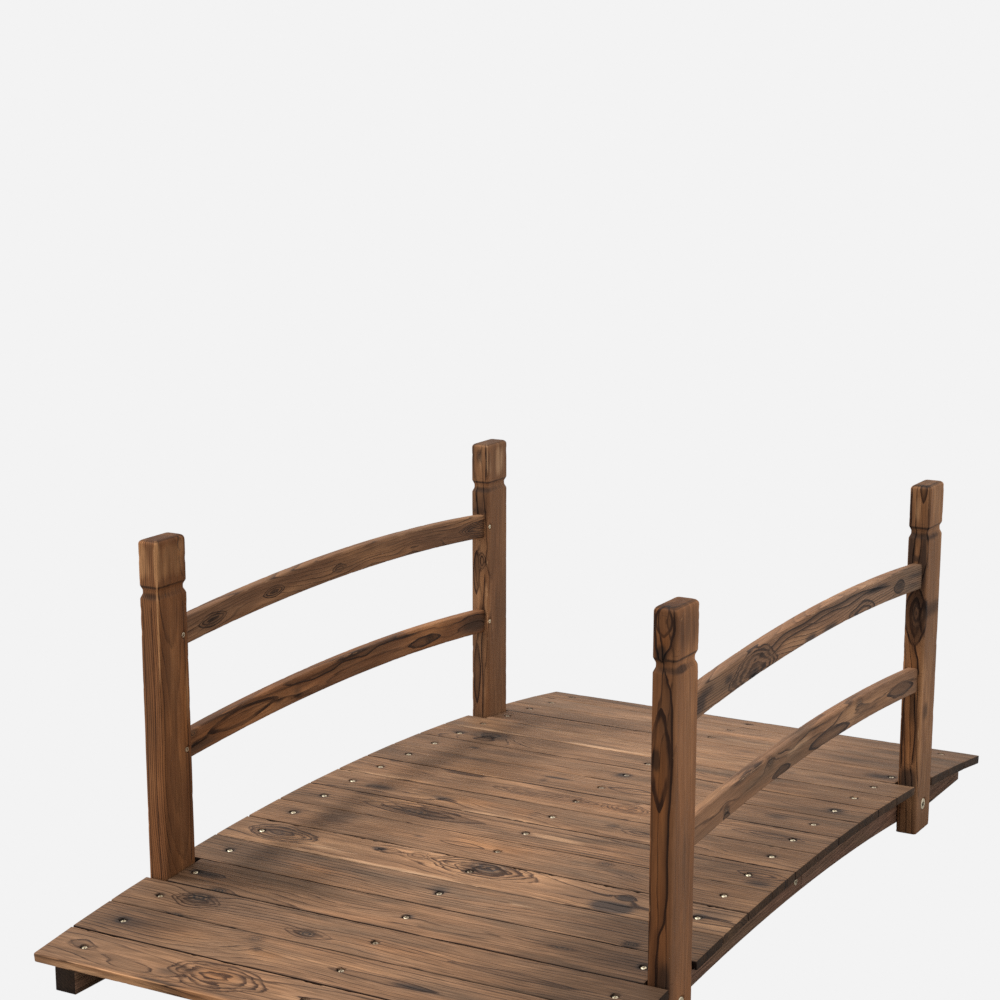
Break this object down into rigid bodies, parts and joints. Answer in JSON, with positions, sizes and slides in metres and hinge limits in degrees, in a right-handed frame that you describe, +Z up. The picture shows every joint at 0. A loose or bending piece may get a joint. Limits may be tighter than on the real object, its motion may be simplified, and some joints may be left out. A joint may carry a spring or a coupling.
{
  "type": "arched wooden garden bridge",
  "caption": "Low arched garden footbridge of charred softwood: a deck of cross planks on arched beams, with posts and arched rails on both sides.",
  "frame": {"origin": "on the ground, under the middle of the deck", "axes": "+X along the bridge to its far end, +Y across it to its left side, +Z up"},
  "size_m": [1.4996, 0.83, 0.572],
  "materials": {
    "plank_wood": "charred and brushed fir, matt, with dark grain lines and lighter worn edges",
    "beam_wood": "charred and brushed fir, matt, dark",
    "post_wood": "charred and brushed fir, matt, reddish brown",
    "rail_wood": "charred and brushed fir, matt, grey brown",
    "screw_metal": "yellow plated steel, satin",
    "bolt_metal": "zinc plated steel, satin"
  },
  "bodies": {
    "root": {"plank_01": "plank_wood", "plank_02": "plank_wood", "plank_03": "plank_wood", "plank_04": "plank_wood", "plank_05": "plank_wood", "plank_06": "plank_wood", "plank_07": "plank_wood", "plank_08": "plank_wood", "plank_09": "plank_wood", "plank_10": "plank_wood", "plank_11": "plank_wood", "plank_12": "plank_wood", "plank_13": "plank_wood", "plank_14": "plank_wood", "plank_15": "plank_wood", "plank_16": "plank_wood", "plank_17": "plank_wood", "plank_18": "plank_wood", "beam_left_near": "beam_wood", "beam_left_far": "beam_wood", "beam_middle_near": "beam_wood", "beam_middle_far": "beam_wood", "beam_right_near": "beam_wood", "beam_right_far": "beam_wood", "post_near_left": "post_wood", "post_near_right": "post_wood", "post_far_left": "post_wood", "post_far_right": "post_wood", "rail_upper_left": "rail_wood", "rail_upper_right": "rail_wood", "rail_lower_left": "rail_wood", "rail_lower_right": "rail_wood"}
  },
  "joints": []
}
